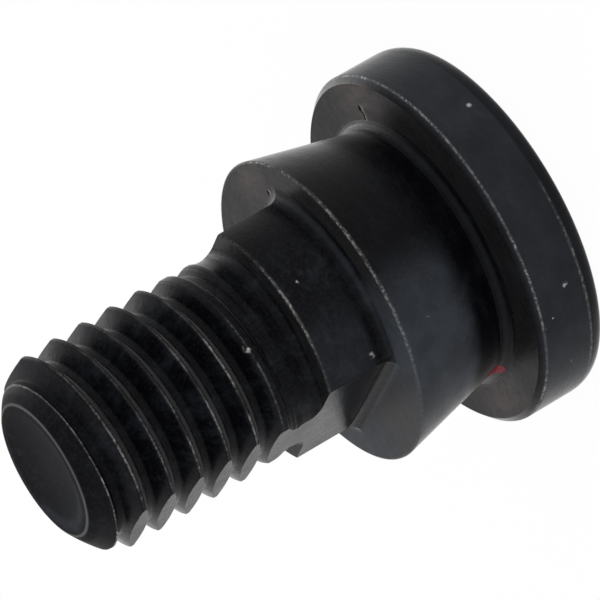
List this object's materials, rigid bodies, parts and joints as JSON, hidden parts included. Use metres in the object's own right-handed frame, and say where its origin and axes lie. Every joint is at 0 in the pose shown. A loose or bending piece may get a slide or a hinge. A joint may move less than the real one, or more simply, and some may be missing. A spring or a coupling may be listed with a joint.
{
  "type": "blade bolt",
  "caption": "Shoulder bolt for a cutting blade: round flat head, reverse-tapered shoulder, double-flat neck, threaded shank with chamfered tip.",
  "frame": {"origin": "centre of the head's flat outer face, on which the bolt stands", "axes": "+Z along the bolt's axis, from the head towards the tip of the thread; +X square to one of the two flats"},
  "size_m": [0.0175, 0.0174, 0.0242],
  "materials": {
    "blackened_steel": "black oxide, semi-gloss, with worn bright edges"
  },
  "bodies": {
    "root": {"blade_bolt": "blackened_steel"}
  },
  "joints": []
}
